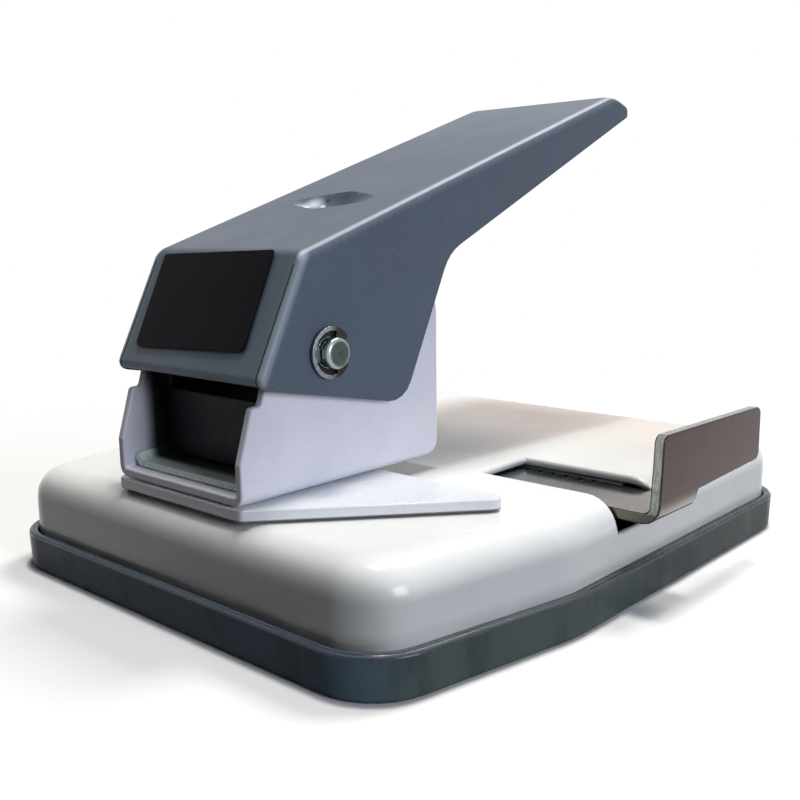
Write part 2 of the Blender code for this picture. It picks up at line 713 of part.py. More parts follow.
def handle_profile(top_in, edge_in):
    """The handle's side outline, drawn in from its top and, by less, from its front and end."""
    top_point = nose - top_normal * top_in
    front_point = nose - front_normal * edge_in
    end_point = crest - end_normal * edge_in
    nose_in = line_meet(top_point, HANDLE_TOP_SLOPE, front_point, front_slope)
    crest_in = line_meet(top_point, HANDLE_TOP_SLOPE, end_point, -HANDLE_END_DROP)
    end_in = line_meet(end_point, -HANDLE_END_DROP, end_top, end_face_slope)
    toe_in = line_meet(front_point, front_slope, heel, HANDLE_BELLY_SLOPE)
    mean_in = (top_in + edge_in) / 2
    corners = [(*nose_in, HANDLE_NOSE_R - mean_in), (*crest_in, HANDLE_CREST_R - mean_in),
               (*end_in, HANDLE_END_R), (*end_low, HANDLE_END_R), (*throat, HANDLE_THROAT_R),
               (*heel, HANDLE_HEEL_R), (*toe_in, HANDLE_TOE_R)]
    return rounded_outline(corners, BEND_STEPS)


def hollow_profile(top_in):
    """The space under the top sheet and behind the front panel, run on past the rest."""
    top_point = nose - top_normal * (HANDLE_SHEET + top_in)
    front_point = nose - front_normal * HANDLE_SHEET
    end_point = crest - end_normal * HANDLE_SHEET
    low_z = heel.y - OVERRUN
    inner_nose = line_meet(top_point, HANDLE_TOP_SLOPE, front_point, front_slope)
    inner_crest = line_meet(top_point, HANDLE_TOP_SLOPE, end_point, -HANDLE_END_DROP)
    inner_end = end_top - end_normal * HANDLE_SHEET + end_run * OVERRUN
    inner_toe = line_meet(inner_nose, front_slope, (0, low_z), 0)
    less = HANDLE_SHEET + top_in / 2
    corners = [(*inner_nose, HANDLE_NOSE_R - less), (*inner_crest, HANDLE_CREST_R - less),
               (*inner_end, 0), (inner_end.x, low_z, 0), (*inner_toe, 0)]
    return rounded_outline(corners, BEND_STEPS)


def bend_stations(bend_r):
    """Places across a bend: how far each lies from the side face."""
    return [bend_r * (1 - math.sin(math.pi / 2 * i / BEND_STEPS)) for i in range(BEND_STEPS + 1)]


def drawn_in(reach, bend_r):
    """How far a bend draws the outline in, at a reach from the side face."""
    left = max(bend_r - reach, 0)
    return bend_r - math.sqrt(bend_r * bend_r - left * left)


def bent_body(half, reaches, outline_at):
    """A body with both its long sides bent down, from the outlines at its places in X."""
    rings = [[(HANDLE_CENTRE_X - half + reach, a, b) for a, b in outline_at(reach)]
             for reach in reversed(reaches)]
    rings += [[(HANDLE_CENTRE_X + half - reach, a, b) for a, b in outline_at(reach)]
              for reach in reaches]
    return loft(rings)


def dimple_shape(length, width, depth, lift, sink):
    """A lens-shaped press mark: deepest at a crease in the middle, thinning to both ends.

    Its mouth lies on the top sheet's outer face, moved along the normal by the lift, and it
    starts that far down by the sink.
    """
    rings = []
    for station in range(2 * DIMPLE_STATIONS + 1):
        share = station / DIMPLE_STATIONS - 1
        fade = max(1 - abs(share), DIMPLE_TIP_SHARE)
        half = width / 2 * math.sqrt(fade)
        x = share * length / 2
        ring = []
        for i in range(DIMPLE_ARC_STEPS + 1):
            u = 2 * i / DIMPLE_ARC_STEPS - 1
            spot = dimple_middle + top_run * (u * half) - top_normal * (sink + depth * fade * (1 - u * u))
            ring.append((x, spot.x, spot.y))
        for u in (1, -1):
            spot = dimple_middle + top_run * (u * half) + top_normal * (lift - sink)
            ring.append((x, spot.x, spot.y))
        rings.append(ring)
    return loft(rings)


def outer_outline(reach):
    return handle_profile(drawn_in(reach, HANDLE_BEND_R), drawn_in(reach, HANDLE_EDGE_R))


def inner_outline(reach):
    return hollow_profile(drawn_in(reach, HANDLE_BEND_R - HANDLE_SHEET))


def make_lever_handle(material):
    reaches = set(bend_stations(HANDLE_BEND_R) + bend_stations(HANDLE_EDGE_R))
    body = bent_body(handle_half, sorted(reaches, reverse=True), outer_outline)
    handle = add_object("lever_handle", body, material, (0, PIVOT_Y, PIVOT_Z))
    inner_reaches = bend_stations(HANDLE_BEND_R - HANDLE_SHEET)
    cut(handle, bent_body(handle_inner, inner_reaches, inner_outline))
    sheet = HANDLE_SHEET
    cut(handle, dimple_shape(DIMPLE_LENGTH + 2 * sheet, DIMPLE_WIDTH + 2 * sheet,
                             DIMPLE_DEPTH + sheet / 2, 0, sheet / 2), "UNION")
    cut(handle, dimple_shape(DIMPLE_LENGTH, DIMPLE_WIDTH, DIMPLE_DEPTH, OVERRUN, 0))
    panel_foot = nose - front_run * PANEL_DROP
    for side in (-1, 1):
        seam = seam_profile(nose - front_run * SEAM_TOP_DROP, toe - front_run * OVERRUN)
        flange_x = HANDLE_CENTRE_X + side * handle_inner
        cut(handle, prism(seam, "X", flange_x - side * SEAM_WIDTH, flange_x))
    trim = seam_profile(panel_foot, toe - front_run * OVERRUN)
    cut(handle, prism(trim, "X", HANDLE_CENTRE_X - handle_inner, HANDLE_CENTRE_X + handle_inner))
    hole = circle(PIVOT_Y, PIVOT_Z, PIN_R + RUN_GAP, PIN_SIDES)
    cut(handle, prism(hole, "X", -handle_half - OVERRUN, handle_half + OVERRUN))
    shade_round(handle)
    return handle


def seam_profile(top, low):
    """A strip across the front panel's sheet, from a point on its outer face to another."""
    out = front_normal * OVERRUN
    back = front_normal * (-2 * HANDLE_SHEET)
    return [tuple(p) for p in (top + out, top + back, low + back, low + out)]


def make_label_plate(material):
    wide = LABEL_WIDTH / 2
    high = LABEL_HEIGHT / 2
    plan = rounded_outline([(-wide, -high, LABEL_FOOT_R), (wide, -high, LABEL_FOOT_R),
                            (wide, high, LABEL_TOP_R), (-wide, high, LABEL_TOP_R)], BEND_STEPS)
    turn = Matrix.Rotation(LABEL_TURN, 2)
    middle = Vector((LABEL_CENTRE_X, -LABEL_TOP_DROP - high))
    rings = []
    for lift in (SEAT_GAP, SEAT_GAP + LABEL_THICKNESS):
        ring = []
        for point in plan:
            on_panel = middle + turn @ Vector(point)
            spot = nose + front_run * on_panel.y + front_normal * lift
            ring.append((on_panel.x, spot.x, spot.y))
        rings.append(ring)
    label = add_object("label_plate", loft(rings), material, (0, PIVOT_Y, PIVOT_Z))
    return label


# Punch

dimple_tilt = top_run.y * (DIMPLE_WIDTH / 2 + HANDLE_SHEET)
dimple_bulge = top_normal.y * (DIMPLE_DEPTH + HANDLE_SHEET / 2)
dimple_low_z = (dimple_middle.y - top_normal.y * (DIMPLE_DEPTH + HANDLE_SHEET)
                - dimple_tilt * dimple_tilt / (4 * dimple_bulge))
head_top_z = dimple_low_z - SEAT_GAP
head_low_z = head_top_z - HEAD_HEIGHT
bar_top_z = head_low_z + BAR_IN_HEAD
cross_pin_z = head_low_z + CROSS_PIN_UP
washer_top_z = head_low_z - SEAT_GAP


def make_punch_bar(material):
    outline = stadium(0, PUNCH_Y, PUNCH_WIDTH, PUNCH_DEPTH)
    bar = add_object("punch_bar", prism(outline, "Z", PUNCH_TIP_Z, bar_top_z), material,
                     (0, PUNCH_Y, PUNCH_TIP_Z))
    gap_r = CROSS_PIN_R + SEAT_GAP
    reach = PUNCH_DEPTH
    cut(bar, prism(circle(0, cross_pin_z, gap_r, SCREW_SIDES), "Y", PUNCH_Y - reach, PUNCH_Y + reach))
    slot_mid = STOP_PIN_Z + PUNCH_STROKE / 2
    slot = [(b, a) for a, b in stadium(slot_mid, 0, PUNCH_STROKE + 2 * gap_r, 2 * gap_r)]
    cut(bar, prism(slot, "Y", PUNCH_Y - reach, PUNCH_Y + reach))
    shade_round(bar)
    return bar


def make_punch_head(material):
    steps = 8
    rim = HEAD_R - HEAD_EDGE_R
    spread = math.asin(rim / HEAD_DOME_R)
    profile = [(head_low_z, rim), (head_low_z + HEAD_EDGE_R, HEAD_R)]
    dome_drop = HEAD_DOME_R * (1 - math.cos(spread))
    profile.append((head_top_z - dome_drop - HEAD_EDGE_R, HEAD_R))
    for i in range(steps):
        t = spread * (1 - i / steps)
        radius = HEAD_DOME_R * math.sin(t)
        profile.append((head_top_z - HEAD_DOME_R * (1 - math.cos(t)), radius))
    tip = HEAD_DOME_R * math.sin(spread / steps / 4)
    profile.append((head_top_z, tip))
    head = add_object("punch_head", turned(profile, "Z", 0, PUNCH_Y, PIN_SIDES), material,
                      (0, PUNCH_Y, head_low_z))
    socket = stadium(0, PUNCH_Y, PUNCH_WIDTH + 2 * SEAT_GAP, PUNCH_DEPTH + 2 * SEAT_GAP)
    cut(head, prism(socket, "Z", head_low_z - OVERRUN, bar_top_z + SEAT_GAP))
    hole = circle(0, cross_pin_z, CROSS_PIN_R + SEAT_GAP, SCREW_SIDES)
    cut(head, prism(hole, "Y", PUNCH_Y - HEAD_R - OVERRUN, PUNCH_Y + HEAD_R + OVERRUN))
    shade_round(head)
    return head


def make_cross_pin(material):
    half = HEAD_R - HEAD_EDGE_R
    pin = prism(circle(0, cross_pin_z, CROSS_PIN_R, SCREW_SIDES), "Y", PUNCH_Y - half, PUNCH_Y + half)
    item = add_object("cross_pin", pin, material, (0, PUNCH_Y, cross_pin_z))
    shade_round(item)
    return item


def make_spring_washer(material):
    low = washer_top_z - WASHER_THICKNESS
    disc = prism(circle(0, PUNCH_Y, WASHER_R, PIN_SIDES), "Z", low, washer_top_z)
    washer = add_object("spring_washer", disc, material, (0, PUNCH_Y, low))
    hole = stadium(0, PUNCH_Y, PUNCH_WIDTH + 2 * SEAT_GAP, PUNCH_DEPTH + 2 * SEAT_GAP)
    cut(washer, prism(hole, "Z", low - OVERRUN, washer_top_z + OVERRUN))
    shade_round(washer)
    return washer


def spring_points():
    """A helix whose two ends turn and run straight, square to the faces they stand on."""
    low = BLOCK_TOP_Z + SEAT_GAP
    high = washer_top_z - WASHER_THICKNESS - SEAT_GAP
    straight = 2 * SPRING_WIRE_R
    turn_step = 2 * math.pi / SPRING_TURN_POINTS
    count = round(SPRING_TURNS * SPRING_TURN_POINTS)
    lead = SPRING_MEAN_R * turn_step / 4
    start = low + straight + lead
    rise = high - low - 2 * (straight + lead)

    def spot(angle, z):
        return (SPRING_MEAN_R * math.cos(angle), PUNCH_Y + SPRING_MEAN_R * math.sin(angle), z)

    points = [spot(0, low), spot(0, low + straight)]
    for i in range(count + 1):
        points.append(spot(turn_step * (i + 0.25), start + rise * i / count))
    last = turn_step * (count + 0.5)
    points.append(spot(last, high - straight))
    points.append(spot(last, high))
    return points


def least_gap(points):
    """The least gap between turns, measured between places a half turn or more apart."""
    fine = []
    for a, b in zip(points, points[1:]):
        for i in range(4):
            fine.append(np.array(a) + (np.array(b) - np.array(a)) * i / 4)
    fine = np.array(fine)
    apart = 4 * SPRING_TURN_POINTS // 2
    least = np.inf
    for i in range(len(fine) - apart):
        reach = np.linalg.norm(fine[i + apart:] - fine[i], axis=1).min()
        least = min(least, reach)
    return least - 2 * SPRING_WIRE_R


def make_return_spring(material):
    points = spring_points()
    gap = least_gap(points)
    print("return_spring: least gap to itself %.2f mm, wanted over %.1f mm"
          % (gap / MM, SPRING_LEAST_GAP / MM))
    curve = bpy.data.curves.new("return_spring", "CURVE")
    curve.dimensions = "3D"
    curve.bevel_depth = SPRING_WIRE_R
    curve.bevel_resolution = 1
    curve.use_fill_caps = True
    line = curve.splines.new("POLY")
    line.points.add(len(points) - 1)
    for spot, point in zip(line.points, points):
        spot.co = (*point, 1)
    item = bpy.data.objects.new("return_spring", curve)
    bpy.context.scene.collection.objects.link(item)
    curve.materials.append(material)
    return item


# Side guide

guide_top_z = shell_under_z - GUIDE_TOP_GAP
guide_low_z = guide_top_z - GUIDE_SHEET
guide_near_y = SLOT_NEAR_Y + GUIDE_SIDE_GAP
guide_far_y = SLOT_NEAR_Y + SLOT_WIDTH - GUIDE_SIDE_GAP


def make_side_guide(material):
    inner_r = GUIDE_BEND_R - GUIDE_SHEET
    back_x = GUIDE_FACE_X - GUIDE_SHEET
    rise = FLAP_TOP_Z + OVERRUN
    strip = [(GUIDE_INNER_X, guide_low_z, 0), (GUIDE_FACE_X, guide_low_z, GUIDE_BEND_R),
             (GUIDE_FACE_X, rise, 0), (back_x, rise, 0),
             (back_x, guide_top_z, inner_r), (GUIDE_INNER_X, guide_top_z, 0)]
    flap_end_y = guide_near_y + FLAP_LENGTH
    bent = prism(rounded_outline(strip, BEND_STEPS), "Y", guide_near_y - OVERRUN, flap_end_y + OVERRUN)
    guide = add_object("side_guide", bent, material)
    low = guide_low_z - OVERRUN
    face = [(guide_near_y, low, 0), (guide_far_y, low, 0), (guide_far_y, FLAP_LOW_Z, FLAP_NECK_R),
            (flap_end_y, FLAP_END_LOW_Z, FLAP_CORNER_R), (flap_end_y, FLAP_END_TOP_Z, FLAP_CORNER_R),
            (guide_near_y + FLAP_NEAR_LEAN, FLAP_TOP_Z, FLAP_CORNER_R), (guide_near_y, guide_top_z, 0)]
    cut(guide, prism(rounded_outline(face, BEND_STEPS), "X", GUIDE_INNER_X - OVERRUN,
                     GUIDE_FACE_X + OVERRUN), "INTERSECT")
    for i in range(NOTCH_COUNT):
        x = NOTCH_FIRST_X + i * NOTCH_PITCH
        notch = circle(x, guide_far_y - NOTCH_IN, NOTCH_R, SCREW_SIDES)
        cut(guide, prism(notch, "Z", guide_low_z - OVERRUN, guide_top_z + OVERRUN))
    shade_round(guide)
    return guide


carrier_floor_z = guide_low_z - CARRIER_DROP


def make_guide_carrier(material):
    near = guide_near_y - CARRIER_SIDE_GAP
    far = guide_far_y + CARRIER_SIDE_GAP
    top = shell_under_z - SEAT_GAP
    sheet = CARRIER_SHEET
    low = carrier_floor_z - sheet
    rim = top - sheet
    outline = [(near - sheet - CARRIER_FLANGE, rim), (near - sheet, rim), (near - sheet, low),
               (far + sheet, low), (far + sheet, rim), (far + sheet + CARRIER_FLANGE, rim),
               (far + sheet + CARRIER_FLANGE, top), (far, top), (far, carrier_floor_z),
               (near, carrier_floor_z), (near, top), (near - sheet - CARRIER_FLANGE, top)]
    return add_object("guide_carrier", prism(outline, "X", CARRIER_INNER_X, CARRIER_OUTER_X), material)


def make_leaf_spring(material):
    """A bowed strip that stands on the carrier and lifts the tongue."""
    foot = carrier_floor_z + SEAT_GAP
    bow = CARRIER_DROP - 2 * SEAT_GAP - LEAF_THICKNESS
    middle_y = (guide_near_y + guide_far_y) / 2
    lower = []
    for i in range(LEAF_STEPS + 1):
        share = 2 * i / LEAF_STEPS - 1
        lower.append((LEAF_CENTRE_X + share * LEAF_LENGTH / 2, foot + bow * (1 - share * share)))
    upper = [(x, z + LEAF_THICKNESS) for x, z in reversed(lower)]
    strip = prism(lower + upper, "Y", middle_y - LEAF_WIDTH / 2, middle_y + LEAF_WIDTH / 2)
    leaf = add_object("guide_leaf_spring", strip, material)
    shade_round(leaf)
    return leaf


def make_part():
    remove_scene_objects()
    tray_plastic = make_material("tray_plastic", (0.035, 0.05, 0.06), 0.35, 0)
    shell_paint = make_material("shell_paint", (0.8, 0.79, 0.76), 0.25, 0)
    stop_paint = make_material("stop_paint", (0.66, 0.68, 0.72), 0.3, 0)
    bracket_paint = make_material("bracket_paint", (0.55, 0.56, 0.66), 0.4, 0)
    handle_paint = make_material("handle_paint", (0.09, 0.11, 0.14), 0.35, 0)
    zinc = make_material("zinc_plate", (0.5, 0.52, 0.48), 0.4, 1)
    chrome = make_material("bright_plate", (0.6, 0.56, 0.55), 0.12, 1)
    tool_steel = make_material("tool_steel", (0.3, 0.3, 0.32), 0.3, 1)
    black_steel = make_material("black_steel", (0.02, 0.02, 0.022), 0.4, 1)
    spring_steel = make_material("spring_steel", (0.35, 0.35, 0.36), 0.3, 1)
    label_black = make_material("label_black", (0.01, 0.01, 0.012), 0.3, 0)

    make_chip_tray(tray_plastic)
    make_base_shell(shell_paint)
    make_die_plate(black_steel)
    make_die_insert(tool_steel)
    make_stop_plate(stop_paint)
    make_head_bracket(bracket_paint)
    make_inner_channel(zinc)
    make_guide_block(black_steel)
    make_stop_pin(tool_steel)
    make_screws(zinc)
    make_pivot_pin(chrome)
    make_clip("pivot_clip_left", -1, tool_steel)
    make_clip("pivot_clip_right", 1, tool_steel)
    make_guide_carrier(zinc)
    make_leaf_spring(spring_steel)

    lever_pivot = bpy.data.objects.new("lever_pivot", None)
    lever_pivot.location = (0, PIVOT_Y, PIVOT_Z)
    bpy.context.scene.collection.objects.link(lever_pivot)
    bpy.context.view_layer.update()
    for item in (make_lever_handle(handle_paint), make_label_plate(label_black)):
        item.location = (0, 0, 0)
        item.parent = lever_pivot

    make_punch_bar(tool_steel)
    make_punch_head(black_steel)
    make_cross_pin(tool_steel)
    make_spring_washer(zinc)
    make_return_spring(spring_steel)
    make_side_guide(chrome)


make_part()
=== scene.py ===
import json
import math
import bpy
from mathutils import Matrix, Vector

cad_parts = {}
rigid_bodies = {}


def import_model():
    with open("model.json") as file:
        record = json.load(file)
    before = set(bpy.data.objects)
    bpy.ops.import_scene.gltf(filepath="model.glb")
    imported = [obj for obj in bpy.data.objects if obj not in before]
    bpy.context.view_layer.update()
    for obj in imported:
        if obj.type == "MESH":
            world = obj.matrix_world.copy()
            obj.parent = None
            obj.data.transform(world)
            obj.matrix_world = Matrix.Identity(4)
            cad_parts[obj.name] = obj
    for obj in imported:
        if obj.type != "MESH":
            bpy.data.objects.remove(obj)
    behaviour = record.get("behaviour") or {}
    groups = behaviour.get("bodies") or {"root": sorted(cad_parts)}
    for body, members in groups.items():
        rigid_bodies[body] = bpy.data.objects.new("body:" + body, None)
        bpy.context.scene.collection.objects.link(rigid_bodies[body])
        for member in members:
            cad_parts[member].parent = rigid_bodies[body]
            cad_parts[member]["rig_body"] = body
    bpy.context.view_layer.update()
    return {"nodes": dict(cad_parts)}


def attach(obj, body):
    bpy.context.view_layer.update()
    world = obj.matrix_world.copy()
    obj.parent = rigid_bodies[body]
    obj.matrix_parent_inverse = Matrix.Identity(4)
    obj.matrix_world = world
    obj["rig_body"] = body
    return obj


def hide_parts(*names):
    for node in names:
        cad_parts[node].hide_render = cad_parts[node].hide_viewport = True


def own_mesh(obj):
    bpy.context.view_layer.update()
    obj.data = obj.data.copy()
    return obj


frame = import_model()
mm = 0.001
print("frame loaded")


# Camera, at the photograph's viewing angle

camera = {
    "azimuth": 42.2,  # degrees round from the front
    "elevation": 10.13,
    "roll": -0.75,
    "place": (173.46, -175.38, 84.61),  # mm
    "focal": 44.335,  # mm
    "sensor": 36,  # mm
    "nearest": 0.01,  # m
    "furthest": 20,
}


def setCamera():
    azimuth, elevation, roll = (math.radians(camera[key]) for key in ("azimuth", "elevation", "roll"))
    back = Vector((math.sin(azimuth) * math.cos(elevation),
                   -math.cos(azimuth) * math.cos(elevation), math.sin(elevation)))
    right = Vector((math.cos(azimuth), math.sin(azimuth), 0))
    up = back.cross(right)
    side = right * math.cos(roll) + up * math.sin(roll)
    top = up * math.cos(roll) - right * math.sin(roll)
    turn = Matrix((side, top, back)).transposed().to_4x4()
    lens = bpy.data.cameras.new("photoCamera")
    lens.lens = camera["focal"]
    lens.sensor_width = camera["sensor"]
    lens.sensor_fit = "HORIZONTAL"
    lens.clip_start = camera["nearest"]
    lens.clip_end = camera["furthest"]
    body = bpy.data.objects.new("photoCamera", lens)
    bpy.context.scene.collection.objects.link(body)
    body.matrix_world = Matrix.Translation(Vector(camera["place"]) * mm) @ turn
    bpy.context.scene.camera = body


setCamera()
print("camera set")


# Nodes

mixFirst, mixSecond, mixResult = 6, 7, 2  # the Mix node's colour inputs, and its colour output


def linear(hexColour):  # sRGB hex to the linear colour that a shader reads
    parts = [int(hexColour[i:i + 2], 16) / 255 for i in (0, 2, 4)]
    return tuple(p / 12.92 if p <= 0.04045 else ((p + 0.055) / 1.055) ** 2.4 for p in parts) + (1,)


def addNode(tree, kind, inputs=None, **settings):  # an input is a link, a hex colour or a value
    node = tree.nodes.new(kind)
    for name, value in settings.items():
        setattr(node, name, value)
    for key, value in (inputs or {}).items():
        if isinstance(value, bpy.types.NodeSocket):
            tree.links.new(value, node.inputs[key])
        else:
            node.inputs[key].default_value = linear(value) if isinstance(value, str) else value
    return node


def newMaterial(name):
    material = bpy.data.materials.new(name)
    material.use_nodes = True
    material.node_tree.nodes.clear()
    return material, material.node_tree


# Floor, sky and lamps

stage = {
    "floorSize": 8.0,  # m
    "floorSeen": "fdfdfd",  # the pale paper as the camera sees it
    "floorBounce": "2e2d2b",  # and as it lights the punch from below
    "fadeFrom": 0.1,  # m from the origin, where the paper starts to fade to white
    "fadeTo": 0.28,
    "lowLevel": 0.01,  # the sky up to 30 degrees
    "zenithLevel": 0.2,
    "zenithFrom": 0.5,  # sine of those 30 degrees
}

lamps = {
    "ceilingPanel": {"place": (0.1, 0.83, 1.55), "size": 0.46, "power": 13.6,
                     "aim": (0, 0.02, 0.03), "colour": "fffdf8"},
    "overheadPanel": {"place": (0.03, 0.1, 1.5), "size": 0.26, "power": 11.4,
                      "aim": (-0.02, -0.02, 0.03), "colour": "fffdf9"},
    "sidePanel": {"place": (1.25, -0.1, 0.4), "size": 0.5, "power": 9.0,
                  "aim": (0, 0, 0.05), "colour": "e8eefb"},
}


def seenRays(tree):  # 1 where the background is seen: straight, in gloss or through glass
    rays = addNode(tree, "ShaderNodeLightPath").outputs
    seen = rays["Is Camera Ray"]
    for name in ("Is Glossy Ray", "Is Transmission Ray"):
        seen = addNode(tree, "ShaderNodeMath", {0: seen, 1: rays[name]},
                       operation="MAXIMUM").outputs[0]
    return seen


def makeFloor():
    material, tree = newMaterial("studioPaper")  # matt white paper: no gloss, a soft shadow
    seen = seenRays(tree)
    tint = addNode(tree, "ShaderNodeMix",
                   {0: seen, mixFirst: stage["floorBounce"], mixSecond: stage["floorSeen"]},
                   data_type="RGBA")
    paper = addNode(tree, "ShaderNodeBsdfDiffuse", {"Color": tint.outputs[mixResult]})
    white = addNode(tree, "ShaderNodeEmission", {"Strength": 1.0})
    places = addNode(tree, "ShaderNodeTexCoord").outputs["Object"]
    length = addNode(tree, "ShaderNodeVectorMath", {0: places}, operation="LENGTH")
    fade = addNode(tree, "ShaderNodeMapRange",
                   {"Value": length.outputs["Value"], "From Min": stage["fadeFrom"],
                    "From Max": stage["fadeTo"]}, interpolation_type="SMOOTHSTEP")
    share = addNode(tree, "ShaderNodeMath", {0: fade.outputs["Result"], 1: seen},
                    operation="MULTIPLY")
    mix = addNode(tree, "ShaderNodeMixShader",
                  {0: share.outputs[0], 1: paper.outputs[0], 2: white.outputs[0]})
    addNode(tree, "ShaderNodeOutputMaterial", {"Surface": mix.outputs[0]})
    bpy.ops.object.select_all(action="DESELECT")
    bpy.ops.mesh.primitive_plane_add(size=stage["floorSize"], location=(0, 0, 0))
    floor = bpy.context.active_object
    floor.name = "studioFloor"
    floor.data.materials.append(material)


def makeSky():  # white where it is seen, and dim as a light, brighter overhead
    world = bpy.data.worlds.new("studioSky")
    bpy.context.scene.world = world
    world.use_nodes = True
    tree = world.node_tree
    tree.nodes.clear()
    upwards = addNode(tree, "ShaderNodeSeparateXYZ",
                      {0: addNode(tree, "ShaderNodeTexCoord").outputs["Generated"]})
    level = addNode(tree, "ShaderNodeMapRange",
                    {"Value": upwards.outputs["Z"], "From Min": stage["zenithFrom"],
                     "To Min": stage["lowLevel"], "To Max": stage["zenithLevel"]},
                    interpolation_type="SMOOTHSTEP")
    dim = addNode(tree, "ShaderNodeBackground",
                  {"Color": "ffffff", "Strength": level.outputs["Result"]})
    white = addNode(tree, "ShaderNodeBackground", {"Color": "ffffff", "Strength": 1.0})
    mix = addNode(tree, "ShaderNodeMixShader",
                  {0: seenRays(tree), 1: dim.outputs[0], 2: white.outputs[0]})
    addNode(tree, "ShaderNodeOutputWorld", {"Surface": mix.outputs[0]})


def makeLamps():
    for name, lamp in lamps.items():
        light = bpy.data.lights.new(name, "AREA")
        light.energy = lamp["power"]
        light.size = lamp["size"]
        light.color = linear(lamp["colour"])[:3]
        body = bpy.data.objects.new(name, light)
        bpy.context.scene.collection.objects.link(body)
        place = Vector(lamp["place"])
        turn = (Vector(lamp["aim"]) - place).to_track_quat("-Z", "Y").to_matrix().to_4x4()
        body.matrix_world = Matrix.Translation(place) @ turn


makeFloor()
makeSky()
makeLamps()
bpy.context.scene.view_settings.view_transform = "Standard"
print("stage set")


# Materials: a ground colour with layers over it, all measured in mm

# A layer is its tone and the limits that it shows within. A limit is what it goes by, where the
# layer starts and where it is full, and, where these aren't 0 and 1, how much shows at each.

directions = {  # limits that go by how far a place lies along a direction from the origin
    "X": (1, 0, 0),
    "Y": (0, 1, 0),
    "Z": (0, 0, 1),
    "pastHead": (1, -0.06, 0),  # to the right, square to the edge of the painted shadow
    "outOfPanel": (0, -0.8957, 0.4446),  # square to the handle's front panel
}

centres = {  # by how far it lies from a centre, once its axes are scaled
    "leverMiddle": {"centre": (-0.6, 0, 0), "scale": (1, 0, 0)},
    "pivotAxis": {"centre": (0, -33.4, 58.3), "scale": (0, 1, 1)},
    "pinHollow": {"centre": (0, -33.1, 58.0), "scale": (0, 1, 1)},
    "notchRim": {"centre": (27.3, 7.75, 0), "scale": (1, 0.3, 0), "pitch": 3.9},  # again along X
}

grains = {  # and by a noise from 0 to 1
    "haze": {"size": 26, "detail": 3.0},
    "wallClouds": {"size": (13, 13, 7), "detail": 4.0},
    "lowBandClouds": {"size": (14, 14, 3), "detail": 3.0},  # wide and low
    "flowMarks": {"size": (9, 9, 38), "detail": 4.0},  # drawn out down the wall
    "dust": {"size": 0.9, "detail": 2.0},  # specks of 0.1 mm, coarser so that they show
}

cloudSpan = (0.35, 0.65)  # the part of a noise over which one tone passes into the next
speckSpan = (0.62, 0.72)
laySpan = (0.3, 0.7)
stainSpan = (0.5, 0.75)
glossSpan = (0.3, 0.7)
beyond = 1000  # mm, further than any place on the punch

shellTop = (("Z", 22.5, 25), ("X", -45, -15))
slotWalls = (("Z", 25.1, 24.7), ("Z", 17.2, 17.5), ("Y", 8.5, 9), ("Y", 28.4, 28), ("X", 31.5, 31.9))


def grained(tree, places, size, detail):  # noise from 0 to 1, in grains of a size
    size = size if isinstance(size, tuple) else (size, size, size)
    cells = addNode(tree, "ShaderNodeVectorMath", {0: places, 1: tuple(1 / s for s in size)},
                    operation="MULTIPLY").outputs["Vector"]
    return addNode(tree, "ShaderNodeTexNoise",
                   {"Vector": cells, "Scale": 1.0, "Detail": detail}).outputs["Fac"]


def measured(tree, places, way):  # what a limit goes by: a name, a place or a node's own value
    if isinstance(way, bpy.types.NodeSocket):
        return way
    if way in grains:
        return grained(tree, places, **grains[way])
    if way == "upward":  # how far the surface faces up
        places, way = addNode(tree, "ShaderNodeTexCoord").outputs["Normal"], "Z"
    if way in directions:
        return addNode(tree, "ShaderNodeVectorMath", {0: places, 1: directions[way]},
                       operation="DOT_PRODUCT").outputs["Value"]
    mark = centres.get(way, {"centre": way, "scale": (1, 1, 1)})
    if "pitch" in mark:
        middle, half = mark["centre"][0], mark["pitch"] / 2
        places = addNode(tree, "ShaderNodeVectorMath",
                         {0: places, 1: (middle + half, beyond, beyond),
                          2: (middle - half, -beyond, -beyond)},
                         operation="WRAP").outputs["Vector"]
    places = addNode(tree, "ShaderNodeVectorMath", {0: places, 1: mark["scale"]},
                     operation="MULTIPLY").outputs["Vector"]
    return addNode(tree, "ShaderNodeVectorMath", {0: places, 1: mark["centre"]},
                   operation="DISTANCE").outputs["Value"]


def within(tree, places, limits):  # the product of what each limit lets show
    share = None
    for way, start, full, *levels in limits:
        low, high = levels or (0.0, 1.0)
        level = addNode(tree, "ShaderNodeMapRange",
                        {"Value": measured(tree, places, way), "From Min": start, "From Max": full,
                         "To Min": low, "To Max": high},
                        interpolation_type="SMOOTHSTEP").outputs["Result"]
        if share is None:
            share = level
        else:
            share = addNode(tree, "ShaderNodeMath", {0: share, 1: level},
                            operation="MULTIPLY").outputs[0]
    return share


def painted(tree, places, colour, layers):  # a ground colour with each layer's tone over it
    for tone, *limits in layers:
        if isinstance(tone, tuple):  # the tone is a ground with layers of its own
            tone = painted(tree, places, *tone)
        colour = addNode(tree, "ShaderNodeMix",
                         {0: within(tree, places, limits), mixFirst: colour, mixSecond: tone},
                         data_type="RGBA").outputs[mixResult]
    return colour


def startMaterial(name):  # with the places on the piece in mm
    material, tree = newMaterial(name)
    places = addNode(tree, "ShaderNodeTexCoord").outputs["Object"]
    places = addNode(tree, "ShaderNodeVectorMath", {0: places, 1: (1 / mm, 1 / mm, 1 / mm)},
                     operation="MULTIPLY").outputs["Vector"]
    return material, tree, places


